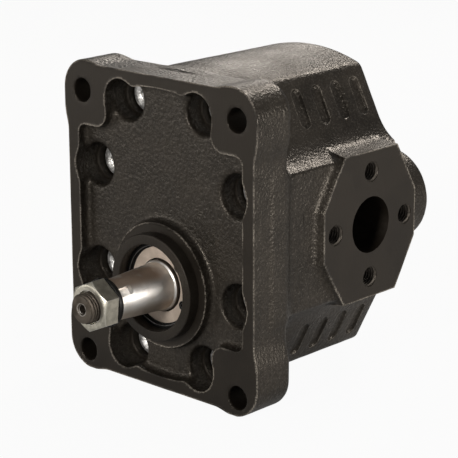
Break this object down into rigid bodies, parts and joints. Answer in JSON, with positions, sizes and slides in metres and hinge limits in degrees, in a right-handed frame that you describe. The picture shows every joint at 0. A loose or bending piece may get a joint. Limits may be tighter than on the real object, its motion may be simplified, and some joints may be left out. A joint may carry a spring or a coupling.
{
  "type": "hydraulic gear pump",
  "caption": "External gear pump with a cast rectangular mounting flange, tapered drive shaft with nut, side ports on octagonal pads and two meshing gears in a blind body.",
  "frame": {"origin": "drive shaft axis where it crosses the front plane of the flange", "axes": "-Y out of the pump along the drive shaft, +Y into the body, +Z from the drive gear to the driven gear, +X out of the inlet port"},
  "size_m": [0.1222, 0.182, 0.1518],
  "materials": {
    "flange_iron": "dark painted cast iron, machined pads and rim smoother",
    "body_iron": "dark painted cast iron with a rough cast skin",
    "zinc_screws": "bright zinc plated",
    "pin_steel": "ground",
    "seal_rubber": "matt black",
    "block_aluminium": "machined",
    "bush_bronze": "bronze lined",
    "backup_plastic": "plain",
    "dust_ring_plastic": "tan filled plastic",
    "spring_steel": "drawn wire",
    "circlip_steel": "phosphated spring steel",
    "washer_steel": "blackened spring steel",
    "nut_steel": "dull zinc plated",
    "ground_steel": "ground and polished"
  },
  "bodies": {
    "housing": {"mounting_flange": "flange_iron", "pump_body": "body_iron", "cover_screws": "zinc_screws", "dowel_pins": "pin_steel", "body_seal": "seal_rubber", "front_bearing_block": "block_aluminium", "rear_bearing_block": "block_aluminium", "drive_front_bush": "bush_bronze", "drive_rear_bush": "bush_bronze", "driven_front_bush": "bush_bronze", "driven_rear_bush": "bush_bronze", "front_balance_seal": "seal_rubber", "rear_balance_seal": "seal_rubber", "front_backup_ring": "backup_plastic", "rear_backup_ring": "backup_plastic", "shaft_seal_case": "seal_rubber", "shaft_seal_lip": "seal_rubber", "garter_spring": "spring_steel", "dust_ring": "dust_ring_plastic", "circlip": "circlip_steel"},
    "drive": {"drive_gear_shaft": "ground_steel", "lock_washer": "washer_steel", "shaft_nut": "nut_steel"},
    "driven": {"driven_gear_shaft": "ground_steel"}
  },
  "joints": [
    {"name": "drive_spin", "type": "hinge", "parent": "housing", "child": "drive", "pos_m": [0, 0, 0], "axis": [0, -1, 0], "continuous": true},
    {"name": "driven_spin", "type": "hinge", "parent": "housing", "child": "driven", "pos_m": [0, 0, 0.048], "axis": [0, -1, 0], "continuous": true}
  ],
  "couplings": [
    {"joint": "driven_spin", "follows": "drive_spin", "ratio": -1}
  ]
}
